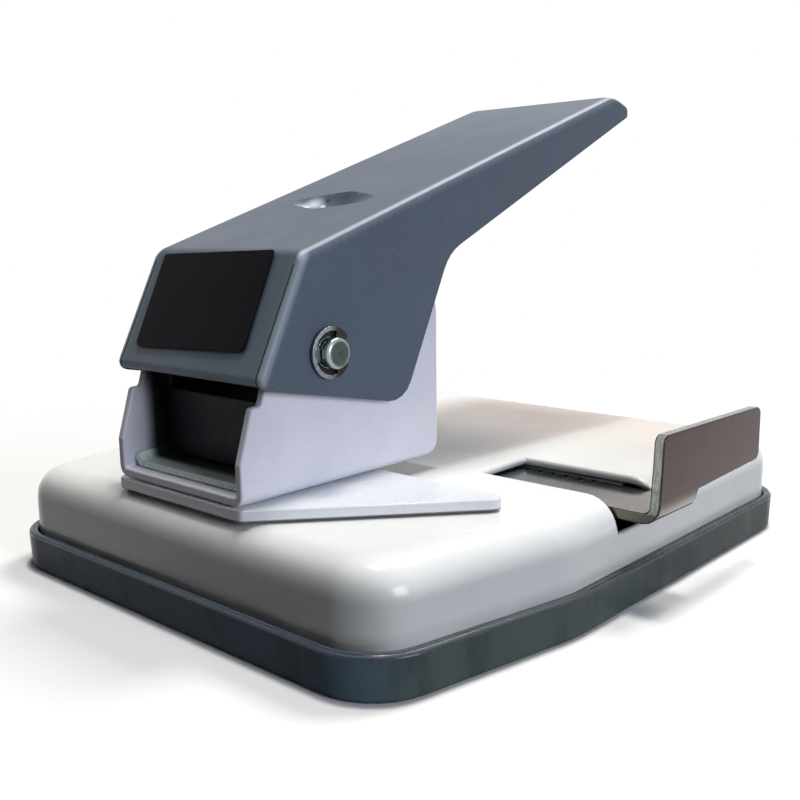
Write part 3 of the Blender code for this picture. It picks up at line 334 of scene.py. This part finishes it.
def endMaterial(tree, colour, roughness, height, depth, settings):  # gloss, bump and output
    bump = addNode(tree, "ShaderNodeBump",
                   {"Height": height, "Strength": 1.0, "Distance": depth * mm}).outputs["Normal"]
    shader = addNode(tree, "ShaderNodeBsdfPrincipled",
                     {"Base Color": colour, "Roughness": roughness, "Normal": bump, **settings})
    addNode(tree, "ShaderNodeOutputMaterial", {"Surface": shader.outputs["BSDF"]})


def coat(look):  # paint or plastic: mottled colour, uneven gloss, and a fine skin
    material, tree, places = startMaterial(look["name"])
    cloud = grained(tree, places, look["cloudSize"], detail=3.0)
    speck = grained(tree, places, look["speckSize"], detail=1.0)
    mottle = ((look["cloud"], (cloud, *cloudSpan)),
              (look["speck"], (speck, *speckSpan, 0.0, look["speckShare"])))
    colour = painted(tree, places, look["colour"], mottle + look.get("layers", ()))
    roughness = within(tree, places, ((cloud, *glossSpan, *look["roughness"]),))
    if "polished" in look:
        roughness = addNode(tree, "ShaderNodeMapRange",
                            {"Value": within(tree, places, look["polished"]), "To Min": roughness,
                             "To Max": look["polish"]}).outputs["Result"]
    peel = grained(tree, places, look["peelSize"], detail=2.0)
    endMaterial(tree, colour, roughness, peel, look["peelDepth"],
                {"IOR": look["ior"], "Metallic": 0.0})
    return material


def bareMetal(look):  # plate or steel: lay marks, and stains that shift the gloss
    material, tree, places = startMaterial(look["name"])
    lay = grained(tree, places, look["laySize"], detail=3.0)
    stain = grained(tree, places, look["stainSize"], detail=3.0)
    marks = ((look["lay"], (lay, *laySpan)),
             (look["stain"], (stain, *stainSpan, 0.0, look["stainShare"])))
    colour = painted(tree, places, look["colour"], marks + look.get("layers", ()))
    roughness = within(tree, places, ((stain, *glossSpan, *look["roughness"]),))
    endMaterial(tree, colour, roughness, lay, look["layDepth"],
                {"Metallic": look.get("metallic", 1.0)})
    return material


# Clouds, stains and peel are at their real size. Specks are dust nibs of about 0.1 mm, drawn
# coarser so that they show at the render's pixel of about 0.25 mm; the lip's are real scuffs.

coats = {
    "shell": {  # baked enamel on pressed steel: hard even gloss, broad soft clouds, with painted shadow, shade and reflection
        "name": "bakedWhiteEnamel", "ior": 1.42, "roughness": (0.16, 0.26),
        "colour": "f0f1ee", "cloud": "ecedeb", "cloudSize": 22,
        "speck": "c9c5bf", "speckSize": 0.8, "speckShare": 0.07,
        "peelSize": 1.6, "peelDepth": 0.006,
        "layers": (
            # painted reflection of warm surroundings on the top behind the head, then the handle's
            # painted shadow there, mauve to brown
            ("e4d6ca", *shellTop, ("Y", 30, 80, 0, 0.75)),
            (("a39e9f", (("bfa396", ("Y", 20, 60)),)), *shellTop, ("pastHead", 24.5, 18.5),
             ("Y", 2, 15), ("haze", 0.3, 0.6, 0.44, 0.62)),
            # painted shade and dark reflection on the walls, grey-green and strongest at the front,
            # with paler clouds in it
            ("9aa09f", ("Z", 24.3, 19.5, 0, 0.6), ("Y", -59.5, -52, 1, 0.2)),
            ("c2cac5", ("Z", 24.3, 19.5), ("Y", -59.5, -52, 1, 0.2),
             ("wallClouds", 0.42, 0.62, 0, 0.55)),
            # a brownish band low on the walls, strongest at the front, in wide clouds
            ("8d7f7c", ("Z", 12.8, 10.5), ("Y", -59.5, -52, 1, 0.35), ("lowBandClouds", 0.3, 0.65, 0.3, 0.75)),
            # the slot's walls, painted brighter, then a painted shadow, dark to the right
            ("ffffff", *slotWalls),
            ("3e3b3a", *slotWalls, ("X", 40, 62, 0, 0.85), ("Z", 24.2, 23.2)),
            # painted shadow under the head's rear end
            ("4e4c51", ("Y", -12, -8), ("Y", 6.4, 4.2), ("X", -23, -21), ("X", 23.5, 20),
             ("Z", 24.5, 25, 0, 0.85)),
        )},
    "stop": {  # stove enamel on thin sheet: a cooler white, a little softer in its gloss
        "name": "whiteStoveEnamel", "ior": 1.45, "roughness": (0.22, 0.32),
        "colour": "e5e9ed", "cloud": "dfe3e8", "cloudSize": 16,
        "speck": "a9adb6", "speckSize": 0.7, "speckShare": 0.1,
        "peelSize": 1.2, "peelDepth": 0.006,
        "layers": (
            ("2a2a2d", ("Z", 26.05, 26.4, 0.85, 0)),  # painted shadow: the dark line where it meets the shell
        )},
    "bracket": {  # powder coat: pale lilac with a satin sheen and a fine orange peel
        "name": "lilacPowderCoat", "ior": 1.45, "roughness": (0.36, 0.46),
        "colour": "e2e2ed", "cloud": "dddde9", "cloudSize": 12,
        "speck": "b9bbd0", "speckSize": 0.6, "speckShare": 0.2,
        "peelSize": 0.9, "peelDepth": 0.012,
        "layers": (
            # the inside, painted shade, dark near the block
            ("0c0d10", ("Y", -50.5, -46.5), ("X", -20.8, -20.4), ("X", 20.8, 20.4), ("Z", 30, 31.5)),
        )},
    "lever": {  # hand-worn enamel: a dull slate blue, glossy where hands go, with painted light and highlights
        "name": "slateBlueEnamel", "ior": 1.42, "roughness": (0.46, 0.56),
        "colour": "4b5666", "cloud": "505b6b", "cloudSize": 18,
        "speck": "6d7a8c", "speckSize": 0.5, "speckShare": 0.35,
        "peelSize": 0.8, "peelDepth": 0.004,
        "layers": (
            # painted light: the top lighter at both ends
            ("66717f", ("upward", 0.7, 0.85), ("Y", 25, 75, 0, 0.6)),
            ("5c6270", ("upward", 0.7, 0.85), ("Y", -10, -45, 0, 0.6)),
            # painted light on the front panel: a little paler and greener
            ("5f6f7a", ("outOfPanel", 70.3, 70.8, 0, 0.75)),
            # painted highlights along the sides' front edges and along the top bends
            ("98a4b0", ("leverMiddle", 23.7, 24.6), ("outOfPanel", 68.6, 70.2, 0, 0.8)),
            ("b4bfc8", ("leverMiddle", 23.7, 24.3), ("leverMiddle", 25, 24.6),
             ("upward", 0.4, 0.6, 0, 0.55)),
            # painted highlights at the dimple's front end, and a painted shade in its crease
            ("9aa7b1", ((-9.3, -8.4, 89.1), 2.8, 0.2)),
            ("e6edf2", ((-8.3, -8.1, 89.0), 1.3, 0.3)),
            ("c6d0d8", ((-7.9, -5.8, 89.9), 3.5, 0.3)),
            ("e6edf2", ((-5.4, -5.3, 88.9), 1.0, 0.2)),
            ("20242a", ((-5.4, -3.6, 90.4), 1.0, 0.2)),
            # dark round the pin's clip
            ("14110f", ("pivotAxis", 5.2, 4.6)),
        ),
        "polished": (("leverMiddle", 22.2, 23.2), ("leverMiddle", 25.48, 25.3)),  # the top bends
        "polish": 0.42},
    # moulded styrene: deep smoky blue with flow marks, and less shine, as in the photo, than
    # its own IOR of 1.59 would give
    "tray": {
        "name": "smokedStyrene", "ior": 1.15, "roughness": (0.2, 0.34),
        "colour": "30455e", "cloud": "384a5c", "cloudSize": 15,
        "speck": "47525c", "speckSize": 0.9, "speckShare": 0.25,
        "peelSize": 2.2, "peelDepth": 0.01,
        "layers": (
            # navy on the left to green on the right, the right side darker towards the back
            ("597183", ("X", -60, 30)),
            (("56625f", (("3a4242", ("Y", -10, 40)),)), ("X", 55, 66)),
            # flow marks, pale and dark
            ("5f6b6a", ("flowMarks", 0.5, 0.66, 0, 0.3)),
            ("232c36", ("flowMarks", 0.32, 0.48, 0.4, 0)),
        )},
    "lip": {  # the tray's rounded edges: greyer than the wall, partly a painted highlight along the lip, and scuffed
        "name": "rubbedStyreneLip", "ior": 1.4, "roughness": (0.2, 0.3),
        "colour": "42424e", "cloud": "30323e", "cloudSize": 5,
        "speck": "6e6c78", "speckSize": 2.2, "speckShare": 0.3,
        "peelSize": 0.8, "peelDepth": 0.01},
    # vinyl film on a plate, left bare: near black and, with so low an IOR, hardly any reflection
    "label": {
        "name": "blackLabelVinyl", "ior": 1.11, "roughness": (0.28, 0.38),
        "colour": "0c0c11", "cloud": "121218", "cloudSize": 9,
        "speck": "26262c", "speckSize": 0.4, "speckShare": 0.3,
        "peelSize": 0.5, "peelDepth": 0.003},
}

# Lay marks are the lines or pits of 0.02 to 0.1 mm that rolling, drawing, grinding or tumbling
# leaves, drawn coarser so that they show.

metals = {
    # passivated zinc without metal shine, painted pale as lit in front, with painted shade further in
    "bayPlate": {
        "name": "passivatedZincPlate", "metallic": 0.0, "roughness": (0.3, 0.45),
        "colour": "f4fffb", "lay": "e4f6ee", "laySize": (0.5, 7, 0.5), "layDepth": 0.004,
        "stain": "8c9a96", "stainSize": 0.8, "stainShare": 0.45,
        "layers": (
            # painted shade further into the bay and higher up
            ("1c2120", ("Y", -50.5, -47.5)),
            ("15181a", ("Z", 34.5, 37.5)),
        )},
    "zinc": {  # zinc plate on screws and hidden sheets: grey satin, finely blotched
        "name": "zincPlatedSteel", "roughness": (0.3, 0.5),
        "colour": "9fada9", "lay": "8d9b97", "laySize": (0.5, 7, 0.5), "layDepth": 0.004,
        "stain": "5b6663", "stainSize": 0.9, "stainShare": 0.7},
    "darkPlate": {  # nickel plate coloured dark brown: a painted reflection of the room
        "name": "smokedNickelPlate", "roughness": (0.1, 0.18),
        "colour": "463635", "lay": "493938", "laySize": (9, 9, 0.7), "layDepth": 0.001,
        "stain": "3b312f", "stainSize": 7, "stainShare": 0.5,
        "layers": (
            # the tongue, bend and neck, from left to right: bluish, black, then paler brownish grey
            # with dust
            (("4d5867", (("2b2c2e", ("X", 33, 41)),
                         ("6f6962", ("X", 50, 69)),
                         ("b9bbba", ("dust", 0.66, 0.74, 0, 0.45)))), ("Z", 26.2, 23.5)),
            # painted glints at the notches' rims
            ("f0f2f2", ("notchRim", 0.62, 0.22), ("X", 33.5, 34), ("X", 56.5, 56)),
        )},
    "shearLine": {  # the oxidised line along a sheared edge: dark outline with faint glints
        "name": "oxidisedShearLine", "roughness": (0.2, 0.34),
        "colour": "332c2a", "lay": "3d3634", "laySize": 2, "layDepth": 0.002,
        "stain": "5d5654", "stainSize": 1.2, "stainShare": 0.5},
    "brightEdge": {  # the bare sheared edge itself: bright grey with upright streaks
        "name": "brightShearedEdge", "roughness": (0.18, 0.3),
        "colour": "9a9c9a", "lay": "7d807e", "laySize": (0.6, 0.6, 3), "layDepth": 0.004,
        "stain": "5f615e", "stainSize": 1.5, "stainShare": 0.5},
    "ground": {  # ground tool steel: clean, bright, with fine upright lines
        "name": "groundToolSteel", "roughness": (0.2, 0.34),
        "colour": "a8a8aa", "lay": "8f9092", "laySize": (0.3, 0.3, 5), "layDepth": 0.003,
        "stain": "77787a", "stainSize": 3, "stainShare": 0.4},
    "pin": {  # oiled pin steel: dark face, with a painted highlight at its rounded shoulder
        "name": "oiledPinSteel", "roughness": (0.2, 0.3),
        "colour": "545d5d", "lay": "4a5250", "laySize": (3, 0.4, 0.4), "layDepth": 0.003,
        "stain": "3d4341", "stainSize": 1.2, "stainShare": 0.5,
        "layers": (
            ("97a3a3", ("pivotAxis", 2.35, 2.85)),
            # painted shade in the face's dished middle
            ("3c4443", ("pinHollow", 1.6, 0.2, 0, 0.5)),
        )},
    "black": {  # black oxide: nearly black, oily satin
        "name": "blackOxideSteel", "roughness": (0.34, 0.5),
        "colour": "131519", "lay": "0f1013", "laySize": (0.4, 0.4, 6), "layDepth": 0.004,
        "stain": "1d1c1b", "stainSize": 2.5, "stainShare": 0.4},
    "clip": {  # tumbled spring steel: bright and cool, and dark on its open side
        "name": "tumbledSpringSteel", "roughness": (0.16, 0.28),
        "colour": "9299a4", "lay": "7b818b", "laySize": 0.7, "layDepth": 0.002,
        "stain": "5c5a58", "stainSize": 1.3, "stainShare": 0.35,
        "layers": (
            ("3b3735", ("Y", -34.5, -31.5)),
        )},
    "spring": {  # drawn wire with a film of oil: even grey, finely flecked
        "name": "oiledSpringWire", "roughness": (0.2, 0.34),
        "colour": "8f9296", "lay": "77797c", "laySize": 0.5, "layDepth": 0.002,
        "stain": "4f4d4a", "stainSize": 1.4, "stainShare": 0.4},
}

materials = {key: coat(look) for key, look in coats.items()}
materials.update({key: bareMetal(look) for key, look in metals.items()})
print("materials made")


# Skins: each CAD node's own shape with its sharp edges eased, in mm and degrees

wallSlot, edgeSlot, shearedSlot = 0, 1, 2  # a skin's materials, in this order

easing = {
    "merge": 0.002,  # points this close are one
    "flat": 0.4,  # and so are faces this near to level with each other
    "segments": 3,
    "sharpFrom": 40,
    "smoothUpTo": 32,
}

skins = {
    "chip_tray": {"material": "tray", "edge": 0.3, "edgeMaterial": "lip", "edgeFrom": 5},
    "base_shell": {"material": "shell", "edge": 0.8, "fullBevel": True},
    "stop_plate": {"material": "stop", "edge": 0},
    "die_plate": {"material": "black", "edge": 0.3},
    "die_insert": {"material": "ground", "edge": 0.1},
    "head_bracket": {"material": "bracket", "edge": 0.5, "fullBevel": True},
    "inner_channel": {"material": "bayPlate", "edge": 0.25},
    "guide_block": {"material": "black", "edge": 0},
    "stop_pin": {"material": "ground", "edge": 0.2},
    "head_screw_1": {"material": "zinc", "edge": 0},
    "head_screw_2": {"material": "zinc", "edge": 0},
    "head_screw_3": {"material": "zinc", "edge": 0},
    "head_screw_4": {"material": "zinc", "edge": 0},
    "pivot_pin": {"material": "pin", "edge": 0.1},
    "pivot_clip_left": {"material": "clip", "edge": 0.1},
    "pivot_clip_right": {"material": "clip", "edge": 0.1},
    "lever_handle": {
        "material": "lever", "edge": 0.2, "smoothUpTo": 52,
        "dimple": {
            "low": (-14, -15.5, 80), "high": (13, 1.5, 95),  # the box round it
            "flat": (0, -0.316, 0.949),  # the lever's top round it, which stays as it is
            "levelFrom": 0.9985,  # cosine of the turn up to which a face is part of that top
            "upFrom": 0.2,  # and of the turn up to which it isn't the sheet's underside
            "cuts": 2, "smoothing": 0.5, "rounds": 4}},
    "label_plate": {"material": "label", "edge": 0.12},
    "punch_bar": {"material": "ground", "edge": 0.1},
    "punch_head": {"material": "black", "edge": 0},
    "cross_pin": {"material": "ground", "edge": 0.2},
    "spring_washer": {"material": "zinc", "edge": 0.1},
    "return_spring": {"material": "spring", "edge": 0, "foot": 48.5, "travel": 5.7},
    "side_guide": {"material": "darkPlate", "edge": 0.35, "fullBevel": True,
                   "edgeMaterial": "shearLine", "shearedMaterial": "brightEdge",
                   "shearedAbove": 25.5, "sheetFacing": 0.5},
    "guide_carrier": {"material": "zinc", "edge": 0.1},
    "guide_leaf_spring": {"material": "spring", "edge": 0},
}


def startSkin(nodeName, look):  # the node's triangles, joined into whole faces
    mesh = frame["nodes"][nodeName].data.copy()
    mesh.materials.clear()
    for key in ("material", "edgeMaterial", "shearedMaterial"):
        if key in look:
            mesh.materials.append(materials[look[key]])
    skin = bpy.data.objects.new(nodeName + "Skin", mesh)
    bpy.context.scene.collection.objects.link(skin)
    bpy.ops.object.select_all(action="DESELECT")
    skin.select_set(True)
    bpy.context.view_layer.objects.active = skin
    bpy.ops.object.mode_set(mode="EDIT")
    bpy.ops.mesh.select_all(action="SELECT")
    bpy.ops.mesh.remove_doubles(threshold=easing["merge"] * mm)
    bpy.ops.mesh.dissolve_limited(angle_limit=math.radians(easing["flat"]))
    bpy.ops.object.mode_set(mode="OBJECT")
    return skin


def markSheared(skin, look):  # the upright sheet's edges, which don't face across it
    for face in skin.data.polygons:
        if face.center.z > look["shearedAbove"] * mm and abs(face.normal.x) < look["sheetFacing"]:
            face.material_index = shearedSlot


def relaxDimple(skin, dimple):  # the pressed dimple, drawn finer and smoothed off its facets
    low, high = (Vector(dimple[key]) * mm for key in ("low", "high"))
    flat = Vector(dimple["flat"])
    bpy.ops.object.mode_set(mode="EDIT")
    bpy.ops.mesh.select_all(action="DESELECT")
    bpy.ops.object.mode_set(mode="OBJECT")
    for face in skin.data.polygons:
        inside = all(low[i] < face.center[i] < high[i] for i in range(3))
        pressed = face.normal.z > dimple["upFrom"] and face.normal.dot(flat) < dimple["levelFrom"]
        face.select = inside and pressed
    bpy.ops.object.mode_set(mode="EDIT")
    bpy.ops.mesh.subdivide(number_cuts=dimple["cuts"])
    bpy.ops.mesh.select_less()
    bpy.ops.mesh.vertices_smooth(factor=dimple["smoothing"], repeat=dimple["rounds"])
    bpy.ops.object.mode_set(mode="OBJECT")


def easeEdges(skin, look, low, high):  # rounded edges that stay inside the node's own box
    if look["edge"]:
        bevel = skin.modifiers.new("easedEdge", "BEVEL")
        bevel.width = look["edge"] * mm
        bevel.segments = easing["segments"]
        bevel.limit_method = "ANGLE"
        bevel.angle_limit = math.radians(easing["sharpFrom"])
        bevel.use_clamp_overlap = not look.get("fullBevel", False)
        if "edgeMaterial" in look:
            bevel.material = edgeSlot
        bpy.ops.object.modifier_apply(modifier=bevel.name)
    for vertex in skin.data.vertices:  # an eased corner may stand out by a hair
        vertex.co = [min(max(vertex.co[i], low[i]), high[i]) for i in range(3)]


def shadeSmooth(skin, look):  # round faces smooth, flat ones flat up to their eased edges
    upTo = look.get("smoothUpTo", easing["smoothUpTo"])
    bpy.ops.object.shade_smooth_by_angle(angle=math.radians(upTo))
    weighted = skin.modifiers.new("flatFaces", "WEIGHTED_NORMAL")
    weighted.keep_sharp = True
    bpy.ops.object.modifier_apply(modifier=weighted.name)


def skinNode(nodeName, look):
    node = frame["nodes"][nodeName]
    skin = startSkin(nodeName, look)
    if "shearedAbove" in look:
        markSheared(skin, look)
    if "dimple" in look:
        relaxDimple(skin, look["dimple"])
    low = [min(corner[i] for corner in skin.bound_box) for i in range(3)]
    high = [max(corner[i] for corner in skin.bound_box) for i in range(3)]
    easeEdges(skin, look, low, high)
    if "edgeFrom" in look:  # below this height the eased edges are as the walls
        for face in skin.data.polygons:
            if face.center.z < look["edgeFrom"] * mm:
                face.material_index = wallSlot
    shadeSmooth(skin, look)
    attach(skin, node["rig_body"])
    if "travel" in look:  # the spring's skin gets a mesh of its own
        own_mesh(skin)
    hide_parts(nodeName)


for nodeName, look in skins.items():
    skinNode(nodeName, look)
print("nodes dressed")
